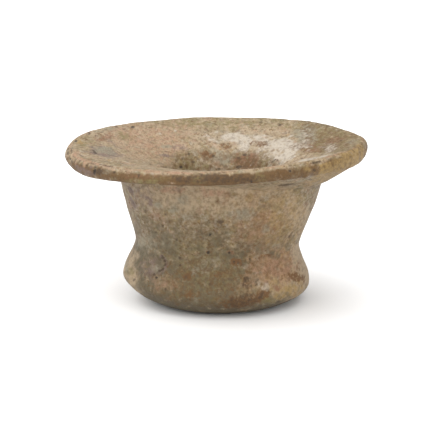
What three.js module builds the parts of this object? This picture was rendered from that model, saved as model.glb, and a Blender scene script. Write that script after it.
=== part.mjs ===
// Ancient glass patera: one hand-worked bowl with a swelling base, a narrow waist, sides that open
// upwards and a broad rim turned outwards. The rim's top is dished and runs down, ever more steeply,
// into a deep and narrow well in thick walls. It is empty and its skin is weathered opaque.
// Millimetres, +Z up. +X is to the right and +Y away from the side that is seen first.
// The origin is in the middle of the vessel's extents, on the plane that it rests on.
import * as THREE from 'three';

// Outside radii
const FOOT_RADIUS = 17.2; // outer edge of the flat ring that the vessel rests on
const BULGE_RADIUS = 29.3; // widest place of the swelling base
const WAIST_RADIUS = 25.6; // narrowest place of the sides
const NECK_RADIUS = 31.8; // where the sides turn out into the rim
const RIM_RADIUS = 47.4; // outermost edge of the lip

// Heights, each measured up from the one before
const BULGE_HEIGHT = 7.6; // plane of rest to the widest place of the base
const WAIST_RISE = 11.2; // up to the waist
const NECK_RISE = 21.5; // up to the neck
const RIM_RISE = 5.4; // up to the lower edge of the lip

// Lip
const LIP_THICKNESS = 4.5; // height of the rounded lip
const LIP_ROUND = 2.3; // how far the lip bellies out beyond its edges

// Inside
const MOUTH_RADIUS = 16; // where the rim's dished top has turned down into the well
const MOUTH_DROP = 3.3; // neck down to the lower end of that turn
const WELL_RADIUS = 14.5; // side of the well just above its floor
const FLOOR = 6; // thickness in the middle of the base

// Underside
const HOLLOW_RADIUS = 11.5; // inner edge of the flat ring
const HOLLOW_DEPTH = 1.2; // how far the middle of the underside is drawn up

// Reach of each curve from its end, larger for a fuller curve
const FOOT_FULLNESS = 3.6;
const BULGE_FULLNESS = 3.6;
const WAIST_FULLNESS = 3;
const NECK_SWEEP = 9.8; // down the side from the neck
const NECK_SPREAD = 2.1; // inwards over that sweep
const DISH_REACH = 20; // flat part of the rim's top, inwards from the lip
const DISH_DROP = 4.3; // fall over that reach
const MOUTH_SWEEP = 6.5; // upwards from the well to the rim's top
const MOUTH_SPREAD = 1.5; // outwards over that sweep
const WELL_CORNER = 5; // height of the rounding between the side of the well and its floor
const WELL_FLAT = 6; // reach of that rounding over the floor

// Slump of the soft glass: what is off centre, off level or out of round
const FOOT_SHIFT = 1.4; // foot to the right of the rim's centre
const WAIST_SHIFT = 0.3;
const NECK_SHIFT = 0.9;
const BODY_SAG = 1.3; // sides lower on the right
const NECK_SAG = 2.8; // neck lower on the right
const NECK_SAG_BACK = 1.7; // neck lower at the back
const SAG_FADE = 3; // height above the rim's underside over which the sag dies out
const RIM_RISE_RIGHT = 0.7; // lip higher on the right
const RIM_RISE_BACK = 0.4; // lip higher at the back
const RIM_TWIST = 0.6; // lip higher at the back left and the front right
const RIM_OVAL = 0.7; // rim longer from front to back than across
const RIM_OVAL_SLANT = 0.8; // rim longer from the front left to the back right
const LIP_SWELL = 0.5; // lip thicker on the right

// Fineness of the faces
const TURN_STEPS = 72;

const waistHeight = BULGE_HEIGHT + WAIST_RISE;
const neckHeight = waistHeight + NECK_RISE;
const mouthHeight = neckHeight - MOUTH_DROP;
const lipFoot = neckHeight + RIM_RISE;
const lipMiddle = lipFoot + LIP_THICKNESS / 2;
const lipTop = lipFoot + LIP_THICKNESS;
const lipRadius = RIM_RADIUS - LIP_ROUND;

const at = (radius, height) => new THREE.Vector2(radius, height);
const line = (from, to) => new THREE.LineCurve(from, to);
const bend = (...points) => new THREE.CubicBezierCurve(...points);

function underside() {
  const middle = at(0, HOLLOW_DEPTH);
  const ring = at(HOLLOW_RADIUS, 0);
  const hollow = bend(middle, at(HOLLOW_RADIUS / 2, HOLLOW_DEPTH), at(HOLLOW_RADIUS * 0.8, 0), ring);
  return [[hollow, 4], [line(ring, at(FOOT_RADIUS, 0)), 2]];
}

function outside() {
  const foot = at(FOOT_RADIUS, 0);
  const bulge = at(BULGE_RADIUS, BULGE_HEIGHT);
  const waist = at(WAIST_RADIUS, waistHeight);
  const neck = at(NECK_RADIUS, neckHeight);
  const base = bend(
    foot, at(FOOT_RADIUS + FOOT_FULLNESS, 0), at(BULGE_RADIUS, BULGE_HEIGHT - FOOT_FULLNESS), bulge,
  );
  const swelling = bend(
    bulge, at(BULGE_RADIUS, BULGE_HEIGHT + BULGE_FULLNESS),
    at(WAIST_RADIUS, waistHeight - WAIST_FULLNESS), waist,
  );
  const side = bend(
    waist, at(WAIST_RADIUS, waistHeight + WAIST_FULLNESS),
    at(NECK_RADIUS - NECK_SPREAD, neckHeight - NECK_SWEEP), neck,
  );
  const rim = line(neck, at(lipRadius, lipFoot));
  return [[base, 6], [swelling, 6], [side, 7], [rim, 3]];
}

function lip() {
  const halfRound = new THREE.EllipseCurve(
    lipRadius, lipMiddle, LIP_ROUND, LIP_THICKNESS / 2, -Math.PI / 2, Math.PI / 2,
  );
  return [[halfRound, 8]];
}

// From the lip over the rim's dished top, down the side of the well and over its floor
function inside() {
  const mouth = at(MOUTH_RADIUS, mouthHeight);
  const corner = at(WELL_RADIUS, FLOOR + WELL_CORNER);
  const dish = bend(
    at(lipRadius, lipTop), at(lipRadius - DISH_REACH, lipTop - DISH_DROP),
    at(MOUTH_RADIUS + MOUTH_SPREAD, mouthHeight + MOUTH_SWEEP), mouth,
  );
  const floor = bend(corner, at(WELL_RADIUS, FLOOR), at(WELL_RADIUS - WELL_FLAT, FLOOR), at(0, FLOOR));
  return [[dish, 12], [line(mouth, corner), 5], [floor, 6]];
}

// One closed line, from the middle of the underside round the outside to the middle of the floor
function profile() {
  const stretches = [...underside(), ...outside(), ...lip(), ...inside()];
  const points = stretches.flatMap(([curve, steps]) => curve.getPoints(steps).slice(1));
  points.unshift(at(0, HOLLOW_DEPTH));
  return points;
}

// A value that eases from one to the next over the stages of the body: rest, bulge, waist and neck
function staged(height, values) {
  const stages = [0, BULGE_HEIGHT, waistHeight, neckHeight];
  let value = values[0];
  for (let i = 1; i < stages.length; i += 1) {
    const share = THREE.MathUtils.smoothstep(height, stages[i - 1], stages[i]);
    value += (values[i] - values[i - 1]) * share;
  }
  return value;
}

// Moves one point of the true round to where the soft glass has settled
function settle(point) {
  const radius = Math.hypot(point.x, point.y);
  const turn = Math.atan2(point.y, point.x);
  const height = point.z;
  const right = Math.cos(turn);
  const back = Math.sin(turn);
  const rimward = THREE.MathUtils.clamp((radius - NECK_RADIUS) / (RIM_RADIUS - NECK_RADIUS), 0, 1);
  const rimFoot = neckHeight + RIM_RISE * rimward;
  const topward = THREE.MathUtils.smoothstep(height, rimFoot, rimFoot + SAG_FADE);
  const bodyward = Math.min(radius / NECK_RADIUS, 1) * (1 - rimward) * (1 - topward);

  const shift = staged(height, [FOOT_SHIFT, 0, WAIST_SHIFT, NECK_SHIFT]) * (1 - rimward);
  const sag = staged(height, [0, BODY_SAG, BODY_SAG, NECK_SAG]) * right;
  const backSag = staged(height, [0, 0, 0, NECK_SAG_BACK]) * back;
  const rise = RIM_RISE_RIGHT * right + RIM_RISE_BACK * back - RIM_TWIST * Math.sin(2 * turn);
  const swell = LIP_SWELL * right * (height - lipMiddle) / LIP_THICKNESS * rimward;
  const oval = (RIM_OVAL_SLANT * Math.sin(2 * turn) - RIM_OVAL * Math.cos(2 * turn)) * rimward;

  point.x += oval * right + shift;
  point.y += oval * back;
  point.z += rise * rimward + swell - (sag + backSag) * bodyward;
}

function vesselShape() {
  const shape = new THREE.LatheGeometry(profile(), TURN_STEPS);
  shape.rotateX(Math.PI / 2);
  const places = shape.getAttribute('position');
  const point = new THREE.Vector3();
  for (let i = 0; i < places.count; i += 1) {
    point.fromBufferAttribute(places, i);
    settle(point);
    places.setXYZ(i, point.x, point.y, point.z);
  }
  shape.computeBoundingBox();
  const middle = shape.boundingBox.getCenter(new THREE.Vector3());
  shape.translate(-middle.x, -middle.y, 0);
  shape.computeVertexNormals();
  return shape;
}

const weatheredGlass = new THREE.MeshStandardMaterial({
  color: '#a08c70',
  roughness: 0.75,
  metalness: 0,
});

const patera = new THREE.Mesh(vesselShape(), weatheredGlass);
patera.name = 'patera';

const vessel = new THREE.Group();
vessel.add(patera);

export default vessel;
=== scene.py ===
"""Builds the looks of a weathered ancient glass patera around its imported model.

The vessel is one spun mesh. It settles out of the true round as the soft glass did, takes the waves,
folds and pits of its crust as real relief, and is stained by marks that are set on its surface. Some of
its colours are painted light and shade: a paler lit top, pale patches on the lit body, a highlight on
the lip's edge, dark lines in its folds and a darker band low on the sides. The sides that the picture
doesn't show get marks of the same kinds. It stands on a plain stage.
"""

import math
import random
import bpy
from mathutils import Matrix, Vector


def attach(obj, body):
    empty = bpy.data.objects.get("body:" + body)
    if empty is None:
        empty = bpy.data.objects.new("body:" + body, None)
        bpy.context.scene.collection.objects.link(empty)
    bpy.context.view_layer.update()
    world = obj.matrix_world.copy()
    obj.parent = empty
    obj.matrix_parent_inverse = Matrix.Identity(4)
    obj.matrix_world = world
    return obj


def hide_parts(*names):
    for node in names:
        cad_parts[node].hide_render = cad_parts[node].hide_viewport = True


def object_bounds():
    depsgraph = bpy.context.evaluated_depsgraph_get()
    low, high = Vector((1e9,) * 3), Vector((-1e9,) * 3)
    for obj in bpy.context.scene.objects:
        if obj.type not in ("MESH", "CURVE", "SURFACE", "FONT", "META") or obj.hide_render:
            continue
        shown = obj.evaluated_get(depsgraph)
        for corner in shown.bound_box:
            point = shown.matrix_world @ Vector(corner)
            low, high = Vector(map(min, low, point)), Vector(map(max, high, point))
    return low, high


bl_info = {
    "name": "Weathered glass patera",
    "version": (1, 0, 0),
    "blender": (4, 5, 0),
    "location": "View3D > Sidebar > Patera",
    "description": "Builds a weathered glass patera and the plain stage that it stands on",
    "category": "Object",
}

from collections import namedtuple

import bmesh
import bpy
import numpy as np
from bpy.props import FloatProperty, FloatVectorProperty, IntProperty, PointerProperty
from mathutils import Vector, noise
from mathutils.bvhtree import BVHTree

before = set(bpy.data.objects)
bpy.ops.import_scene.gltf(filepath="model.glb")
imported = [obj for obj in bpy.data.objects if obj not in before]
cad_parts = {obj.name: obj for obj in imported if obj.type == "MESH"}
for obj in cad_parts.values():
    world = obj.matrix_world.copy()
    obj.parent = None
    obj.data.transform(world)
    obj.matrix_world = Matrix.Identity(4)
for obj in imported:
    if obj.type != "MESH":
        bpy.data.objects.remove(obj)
CAD_LOW, CAD_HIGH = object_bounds()

MM = 0.001

# The picture that the marks are placed in, and its camera
PIXELS = 432
SENSOR = 36.0
LENS = 153.5
AIM = (-0.07, 0.0, 26.55)  # point in the middle of the picture, in millimetres
NEAREST = 0.01  # nearest thing that the camera shows, in metres

# The stage
KEY_WAY = (0.45, 0.12, -1.0)  # the light overhead shines down and a little to the right
FILL_WAY = (-0.45, 0.9, -0.4)  # the low light in front shines away and to the left
FLOOR_REACH = 6.0  # middle of the floor to its edge, in metres

# How the soft glass slumped, in millimetres
RIM_OVAL = 0.7
RIM_OVAL_SLANT = 0.8
FOOT_SHIFT = 1.4
WAIST_SHIFT = 0.3
NECK_SHIFT = 0.9
BODY_SAG = 1.3
NECK_SAG = 2.8
NECK_SAG_BACK = 1.7
SAG_FADE = 3.0
RIM_RISE_RIGHT = 0.7
RIM_RISE_BACK = 0.4
RIM_TWIST = 0.6
LIP_SWELL = 0.5

# Small unevenness of the rim: the turn that it is at and how far it spreads, in degrees, and how far
# it moves the rim out, the lip's upper edge up and its lower edge down, in millimetres
Bump = namedtuple("Bump", "turn spread outward upward downward")

RIM_BUMPS = (
    Bump(turn=2, spread=14, outward=0.1, upward=0.0, downward=0.0),
    Bump(turn=26, spread=14, outward=-0.5, upward=0.0, downward=0.0),
    Bump(turn=46, spread=20, outward=0.1, upward=0.45, downward=0.0),
    Bump(turn=108, spread=30, outward=0.0, upward=-0.25, downward=0.0),
    Bump(turn=-90, spread=26, outward=0.0, upward=-0.3, downward=0.0),
    Bump(turn=-140, spread=16, outward=0.0, upward=0.3, downward=0.0),
    Bump(turn=-146, spread=16, outward=0.0, upward=0.0, downward=1.2),
    Bump(turn=-24, spread=20, outward=0.0, upward=0.0, downward=0.9),
    Bump(turn=158, spread=12, outward=0.1, upward=0.45, downward=0.0),
)

# Reach of each curve of the section from its end, larger for a fuller curve, in millimetres
FOOT_FULLNESS = 3.6
BULGE_FULLNESS = 3.6
WAIST_FULLNESS = 3.0
NECK_SWEEP = 9.8  # down the side from the neck
NECK_SPREAD = 2.1  # inwards over that sweep
DISH_REACH = 20.0  # flat part of the rim's top, inwards from the lip
DISH_DROP = 4.3  # fall over that reach
MOUTH_SWEEP = 6.5  # upwards from the well to the rim's top
MOUTH_SPREAD = 1.5  # outwards over that sweep
WELL_CORNER = 5.0  # height of the rounding between the side of the well and its floor
WELL_FLAT = 6.0  # reach of that rounding over the floor
HOLLOW_EASE = 0.8  # share of the hollow's radius where its curve turns level with the ring

# Steps of the mesh along each stretch of the section
STEPS = {"hollow": 6, "ring": 3, "base": 18, "bulge": 18, "side": 36, "under": 20, "lip": 18,
         "top": 52, "well": 12, "floor": 8}


def length(name, millimetres, description):
    """A size that a user can change."""
    return FloatProperty(name=name, description=description, default=millimetres * MM, min=0.0,
                         unit="LENGTH", precision=4)


def tint(name, colour, description):
    """A colour that a user can change."""
    return FloatVectorProperty(name=name, description=description, default=colour, min=0.0, max=1.0,
                               size=3, subtype="COLOR")


class PateraShape(bpy.types.PropertyGroup):
    """Sizes of the vessel."""

    rim_radius: FloatProperty(
        name="Rim radius", description="Middle of the mouth to the edge of the lip", unit="LENGTH",
        default=(CAD_HIGH.x - CAD_LOW.x) / 2 + RIM_OVAL * MM, min=0.0, precision=4)
    neck_radius: length("Neck radius", 31.8, "Where the sides turn out into the rim")
    waist_radius: length("Waist radius", 25.6, "Narrowest place of the sides")
    bulge_radius: length("Bulge radius", 29.3, "Widest place of the base")
    foot_radius: length("Foot radius", 17.2, "Outer edge of the ring that it rests on")
    hollow_radius: length("Hollow radius", 11.5, "Inner edge of that ring")
    hollow_depth: length("Hollow depth", 1.2, "How far the middle of the underside is drawn up")
    bulge_height: length("Bulge height", 7.6, "Height of the widest place of the base")
    waist_height: length("Waist height", 18.8, "Height of the waist")
    neck_height: length("Neck height", 40.3, "Height of the neck")
    lip_height: length("Lip height", 45.7, "Height of the lower edge of the lip")
    lip_thickness: length("Lip thickness", 4.5, "Height of the rounded lip")
    lip_round: length("Lip round", 2.3, "How far the lip bellies out beyond its edges")
    mouth_radius: length("Mouth radius", 16.0, "Where the dished top turns down into the well")
    mouth_height: length("Mouth height", 37.0, "Height of that turn's lower end")
    well_radius: length("Well radius", 14.5, "Side of the well at its floor")
    floor: length("Floor", 6.0, "Thickness of the middle of the base")
    wave: length("Wave", 0.22, "How far the hand-worked skin wanders from the true curve")
    crust: length("Crust", 0.09, "Height of the low lumps of the crust")
    turns: IntProperty(name="Turns", description="Steps of the mesh round the vessel", default=515,
                       min=24)


class PateraColours(bpy.types.PropertyGroup):
    """Colours of the crust, of its stains and of painted light and shade."""

    ground: tint("Ground", (0.215, 0.158, 0.092), "Beige body of the crust")
    shade: tint("Shade", (0.145, 0.106, 0.055), "Darker mottle of the crust")
    # Pale is worn crust and is also painted light: the lit top of the rim and pale patches on the lit
    # body.
    pale: tint("Pale", (0.32, 0.24, 0.15), "Pale worn crust")
    # This colour is painted shade: it darkens the body low on the sides, most in front and to the left.
    painted_shade: tint("Grime", (0.09, 0.071, 0.039), "Grey-brown grime low on the sides")
    brown: tint("Brown", (0.1, 0.052, 0.016), "Brown soil in the crust")
    pink: tint("Pink", (0.28, 0.165, 0.1), "Pinkish crust")
    olive: tint("Olive", (0.15, 0.118, 0.045), "Olive crust")
    yellow: tint("Yellow", (0.26, 0.17, 0.062), "Yellow-brown crust")
    mauve: tint("Mauve", (0.14, 0.095, 0.078), "Purplish grey film")
    slate: tint("Slate", (0.21, 0.182, 0.125), "Green-grey film")
    russet: tint("Russet", (0.165, 0.075, 0.035), "Reddish-brown crust")
    white: tint("White", (0.375, 0.325, 0.262), "White chalky crust")
    rust: tint("Rust", (0.11, 0.048, 0.013), "Rust stain")
    umber: tint("Umber", (0.045, 0.026, 0.012), "Dark brown soil")
    black: tint("Black", (0.018, 0.013, 0.009), "Nearly black specks")
    grain: tint("Grain", (0.0585, 0.0338, 0.0156), "Dark grain of the whole crust")


class PateraStudio(bpy.types.PropertyGroup):
    """Camera, lights and floor."""

    distance: length("Camera distance", 577.4, "Camera to the middle of the vessel")
    elevation: FloatProperty(name="Camera elevation", description="Angle above the horizon",
                             default=math.radians(12.57), subtype="ANGLE")
    centre_height: length("Centre height", 23.0, "Height of the point that the distance is measured to")
    key_strength: FloatProperty(name="Key light", description="Strength of the soft light overhead",
                                default=4.2, min=0.0)
    key_spread: FloatProperty(name="Key spread", description="Angle that the key light fills",
                              default=math.radians(110), subtype="ANGLE")
    fill_strength: FloatProperty(name="Fill light", description="Strength of the low light in front",
                                 default=1.8, min=0.0)
    fill_spread: FloatProperty(name="Fill spread", description="Angle that the fill light fills",
                               default=math.radians(60), subtype="ANGLE")
    sky: FloatProperty(name="Sky", description="Strength of the even light all round", default=0.45,
                       min=0.0)
    floor_tint: tint("Floor", (0.85, 0.85, 0.85), "Colour of the floor")


# Marks of the crust and of painted light and shade


# A stain, a patch of painted light or shade, or a small relief, placed by the pixels of the picture. Tilt
# falls to the right, in degrees, and lift raises the crust there, in millimetres.
Mark = namedtuple("Mark", "pigment across down wide high tilt strength lift",
                  defaults=(0.0, 0.85, 0.0))


def stroke(pigment, start, end, thick, strength=0.85, lift=0.0):
    """A long mark from one pixel of the picture to another."""
    run = end[0] - start[0]
    fall = end[1] - start[1]
    return Mark(pigment, across=(start[0] + end[0]) / 2, down=(start[1] + end[1]) / 2,
                wide=math.hypot(run, fall), high=thick, tilt=math.degrees(math.atan2(fall, run)),
                strength=strength, lift=lift)


def bow(pigment, centre, radius, first, last, thick, strength=0.85, lift=0.0):
    """Strokes along an arc of the picture, its angles in degrees clockwise from the right."""
    steps = 5
    places = []
    for i in range(steps + 1):
        angle = math.radians(first + (last - first) * i / steps)
        places.append((centre[0] + radius * math.cos(angle), centre[1] + radius * math.sin(angle)))
    return tuple(stroke(pigment, a, b, thick, strength, lift) for a, b in zip(places, places[1:]))


WASHES = (
    Mark("pink", across=150, down=142, wide=84, high=40, strength=0.62),
    Mark("pink", across=176, down=127, wide=34, high=16, strength=0.6),
    Mark("olive", across=216, down=126, wide=48, high=18, strength=0.5),
    Mark("white", across=212, down=140, wide=26, high=10, strength=0.35),
    Mark("olive", across=86, down=145, wide=34, high=20, strength=0.5),
    Mark("olive", across=285, down=126, wide=60, high=10, strength=0.5),
    Mark("mauve", across=140, down=197, wide=34, high=26, strength=0.5),
    Mark("slate", across=150, down=244, wide=34, high=26, strength=0.5),
    Mark("slate", across=180, down=208, wide=44, high=26, strength=0.4),
    Mark("olive", across=205, down=268, wide=100, high=64, strength=0.52),
    Mark("slate", across=212, down=258, wide=34, high=34, strength=0.45),
    Mark("pink", across=262, down=224, wide=26, high=50, tilt=12, strength=0.55),
    Mark("pink", across=276, down=272, wide=48, high=30, strength=0.9),
    Mark("russet", across=276, down=268, wide=44, high=26, strength=0.5),
    Mark("pink", across=262, down=224, wide=40, high=60, tilt=12, strength=0.5),
    Mark("yellow", across=296, down=206, wide=26, high=40, strength=0.45),
    Mark("yellow", across=338, down=165, wide=60, high=16, tilt=-25, strength=0.8),
    Mark("olive", across=335, down=168, wide=52, high=12, tilt=-25, strength=0.5),
    Mark("yellow", across=282, down=222, wide=52, high=70, strength=0.55),
    Mark("yellow", across=280, down=285, wide=56, high=30, tilt=-15, strength=0.5),
    Mark("slate", across=250, down=140, wide=150, high=26, strength=0.38),
    Mark("white", across=265, down=146, wide=90, high=26, strength=0.28),
    Mark("rust", across=265, down=240, wide=86, high=110, strength=0.42),
    # The broad brown and umber washes over the middle of the body are brown soil and painted shade,
    # darker in the middle than at the edges.
    Mark("brown", across=225, down=230, wide=150, high=100, strength=0.34),
    Mark("brown", across=200, down=278, wide=120, high=60, strength=0.56),
    Mark("umber", across=210, down=250, wide=150, high=110, strength=0.3),
    Mark("brown", across=215, down=158, wide=150, high=24, strength=0.4),
    Mark("rust", across=325, down=145, wide=70, high=30, strength=0.36),
    Mark("brown", across=190, down=162, wide=44, high=18, strength=0.45),
    # The pale marks over the left inside of the dish, across the body under the rim, low on the right and
    # up both edges of the body are painted light.
    Mark("pale", across=140, down=150, wide=90, high=36, strength=0.6),
    Mark("pale", across=285, down=285, wide=60, high=40, strength=0.8),
    Mark("pale", across=200, down=198, wide=170, high=34, strength=0.9),
    Mark("pale", across=128, down=268, wide=16, high=52, strength=0.95),
    Mark("pale", across=302, down=268, wide=28, high=60, strength=1.3),
    Mark("pale", across=300, down=222, wide=22, high=60, tilt=-20, strength=0.8),
    Mark("olive", across=332, down=141, wide=84, high=48, tilt=15, strength=0.85),
    Mark("brown", across=332, down=143, wide=84, high=44, tilt=10, strength=0.62),
    Mark("olive", across=215, down=122.5, wide=290, high=13, strength=0.6),
    Mark("umber", across=225, down=179, wide=120, high=9, strength=0.55),
    Mark("umber", across=300, down=172, wide=60, high=9, tilt=-12, strength=0.25),
    Mark("yellow", across=335, down=172, wide=50, high=18, tilt=-25, strength=1.2),
    Mark("brown", across=335, down=172, wide=50, high=18, tilt=-25, strength=0.5),
    Mark("brown", across=246, down=168, wide=60, high=8, tilt=-5, strength=0.8),
)

RIM_LEFT = (
    Mark("black", across=89, down=133, wide=5, high=2.2, tilt=-20, strength=1.0),
    Mark("black", across=76, down=141, wide=3.6, high=2.4, strength=0.95),
    Mark("black", across=74, down=148, wide=3.6, high=2.4, strength=0.95),
    Mark("yellow", across=79.5, down=142.3, wide=6, high=4, strength=0.9),
    Mark("black", across=132.7, down=127.2, wide=5, high=2.4, strength=0.9),
    stroke("umber", start=(113, 125), end=(119, 128.5), thick=2.4, strength=0.75),
    Mark("umber", across=124, down=129, wide=4, high=1.8, strength=0.6),
    Mark("rust", across=84, down=139, wide=9, high=4.5, strength=0.5),
    Mark("russet", across=101, down=139, wide=11, high=6, strength=0.8),
    Mark("russet", across=108, down=135.5, wide=15, high=7, strength=0.65),
    Mark("olive", across=83, down=146.5, wide=14, high=8, strength=0.8),
    Mark("olive", across=121, down=136.5, wide=14, high=9, strength=0.7),
    Mark("slate", across=107, down=128.8, wide=15, high=4, strength=0.8),
    Mark("mauve", across=104, down=153, wide=30, high=15, strength=1.0),
    Mark("slate", across=107, down=150, wide=18, high=8, strength=1.0),
    # The umber and black strokes along the folds at the rim's left end are dark soil and painted shade in
    # their creases, and the pink and white strokes on the crests between them are pale crust and painted
    # highlight.
    stroke("umber", start=(97, 155), end=(104, 160), thick=2.4, strength=0.5),
    stroke("umber", start=(97.5, 154), end=(98, 162), thick=2.4, strength=0.45),
    stroke("umber", start=(103, 151), end=(112, 157), thick=2.4, strength=0.4),
    stroke("umber", start=(92.5, 150), end=(97.5, 155), thick=2.4, strength=0.9, lift=-0.15),
    Mark("pink", across=76, down=153, wide=9, high=7, strength=0.9),
    stroke("white", start=(79, 149.5), end=(91, 158), thick=2.4, strength=0.5, lift=0.2),
    stroke("umber", start=(72.5, 163.5), end=(76.4, 158), thick=2.4, strength=0.5, lift=-0.15),
    stroke("pink", start=(74.6, 164), end=(78, 158.4), thick=2.4, strength=0.8, lift=0.15),
    stroke("umber", start=(76.6, 165), end=(80.4, 159), thick=2.4, strength=0.5, lift=-0.15),
    stroke("umber", start=(80.4, 166), end=(84.5, 159.6), thick=2.4, strength=0.45, lift=-0.15),
    stroke("umber", start=(67.5, 145), end=(67.6, 155), thick=2.4, strength=0.6, lift=-0.25),
    stroke("umber", start=(67.6, 155), end=(72, 163), thick=2.4, strength=0.6, lift=-0.25),
    stroke("umber", start=(71, 146), end=(71.4, 154), thick=2.4, strength=0.55, lift=-0.25),
    stroke("umber", start=(71.4, 154), end=(76, 158), thick=2.4, strength=0.5, lift=-0.25),
    stroke("umber", start=(77, 152), end=(86, 157.5), thick=2.4, strength=0.55, lift=-0.25),
    stroke("umber", start=(86, 157.5), end=(96, 160), thick=2.4, strength=0.5, lift=-0.2),
    stroke("umber", start=(88, 162), end=(95, 163.6), thick=2.4, strength=0.6, lift=-0.25),
    stroke("pink", start=(83, 166.5), end=(87, 160), thick=2.4, strength=0.9, lift=0.3),
    stroke("umber", start=(85, 168), end=(88.6, 162), thick=2.4, strength=0.6, lift=-0.3),
    stroke("umber", start=(97, 163), end=(118, 168), thick=2.4, strength=0.5, lift=-0.25),
    stroke("pink", start=(98, 166), end=(116, 171), thick=2.4, strength=0.7, lift=0.25),
    stroke("umber", start=(98, 160), end=(112, 162), thick=2.4, strength=0.45, lift=-0.2),
    stroke("umber", start=(117, 159.5), end=(123, 165), thick=2.4, strength=0.5, lift=-0.2),
    Mark("pink", across=86, down=163, wide=9, high=6, strength=0.7, lift=0.25),
    Mark("mauve", across=82.7, down=170.6, wide=20, high=6, tilt=22, strength=0.9),
    stroke("umber", start=(96.6, 163), end=(93.6, 168), thick=2.6, strength=0.85, lift=-0.4),
    stroke("black", start=(94, 167), end=(93.4, 175.5), thick=3, strength=0.85, lift=-0.5),
    Mark("mauve", across=90.5, down=169.5, wide=4, high=9, strength=0.9),
    Mark("umber", across=98.5, down=171.5, wide=9, high=7, strength=0.8),
    Mark("brown", across=100, down=172, wide=18, high=9, strength=0.8),
    Mark("slate", across=107, down=172, wide=10, high=6, strength=0.7),
    Mark("umber", across=114.5, down=172.3, wide=4.5, high=2.5, strength=0.65),
    Mark("white", across=116, down=169.3, wide=6, high=2.4, strength=0.6),
    stroke("umber", start=(119, 160.3), end=(128.5, 166.7), thick=2.4, strength=0.6, lift=-0.12),
    Mark("white", across=127, down=162.6, wide=8, high=4.5, strength=0.6),
    Mark("white", across=160, down=133.8, wide=4, high=2.2, strength=0.7),
    Mark("white", across=142.6, down=144.4, wide=4, high=2, strength=0.6),
    Mark("white", across=175.5, down=130.7, wide=4, high=2.2, strength=0.7),
    Mark("umber", across=173.8, down=120.6, wide=8, high=2.5, strength=0.35),
)

WELL_AND_BACK = (
    Mark("mauve", across=177.5, down=147, wide=17, high=6, strength=0.7),
    Mark("slate", across=166, down=146.5, wide=16, high=5, strength=0.7),
    stroke("umber", start=(160, 152), end=(170, 152), thick=2, strength=0.45),
    stroke("mauve", start=(160, 154.5), end=(174, 157), thick=4, strength=0.8),
    Mark("olive", across=186, down=160, wide=28, high=20, strength=0.6),
    Mark("brown", across=186, down=161, wide=26, high=18, strength=0.6),
    Mark("umber", across=183, down=158, wide=5, high=3.5, strength=0.6),
    Mark("umber", across=188.6, down=154, wide=6, high=3, strength=0.55),
    Mark("umber", across=192.7, down=162, wide=5, high=3.5, strength=0.55),
    Mark("black", across=180.6, down=167.2, wide=4, high=3, strength=0.75),
    Mark("rust", across=206, down=155.5, wide=13, high=8, strength=1.0),
    Mark("umber", across=209.6, down=153.7, wide=3, high=2, strength=0.6),
    Mark("umber", across=199, down=159.6, wide=5, high=2.5, strength=0.4),
    Mark("umber", across=213.4, down=155.8, wide=4, high=3, strength=0.7),
    Mark("slate", across=224, down=159.5, wide=20, high=12, strength=0.9),
    Mark("olive", across=207, down=165.8, wide=8, high=4, strength=0.9),
    Mark("umber", across=219, down=169, wide=8, high=3, strength=0.6),
    Mark("white", across=237, down=138, wide=34, high=11, strength=1.05, lift=0.1),
    Mark("white", across=244, down=145, wide=15, high=12, strength=1.0, lift=0.1),
    Mark("white", across=257, down=139, wide=26, high=10, strength=0.8, lift=0.08),
    Mark("white", across=262, down=149, wide=22, high=7, strength=0.7),
    Mark("rust", across=225.8, down=146, wide=13, high=8, strength=0.75, lift=-0.08),
    Mark("yellow", across=225.8, down=146.5, wide=7, high=4, strength=0.6),
    Mark("umber", across=223.7, down=143.4, wide=3, high=2, strength=0.5),
    Mark("umber", across=227.8, down=143.7, wide=3, high=2, strength=0.5),
    Mark("russet", across=236.5, down=144, wide=8, high=4.5, strength=0.6),
    Mark("mauve", across=240.2, down=142, wide=3, high=2, strength=0.8),
    stroke("rust", start=(249.5, 146), end=(253.5, 141.5), thick=2.4, strength=0.85),
    Mark("slate", across=223.7, down=135.5, wide=5, high=2.4, strength=0.8),
    Mark("mauve", across=226.4, down=131.7, wide=4, high=1.8, strength=0.8),
    stroke("umber", start=(203.7, 128), end=(209.5, 130.8), thick=1.8, strength=0.6),
    Mark("umber", across=197.5, down=134.4, wide=3.6, high=1.8, strength=0.6),
    Mark("russet", across=246, down=161, wide=32, high=17, strength=1.0),
    Mark("brown", across=246, down=162, wide=28, high=13, strength=0.9),
    Mark("umber", across=239.5, down=167, wide=7, high=4, strength=0.75),
    Mark("umber", across=237.5, down=158, wide=6, high=5, strength=0.5),
    Mark("umber", across=246, down=155, wide=9, high=3, strength=0.65),
    Mark("rust", across=254, down=162, wide=8, high=8, strength=0.45),
)

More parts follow.
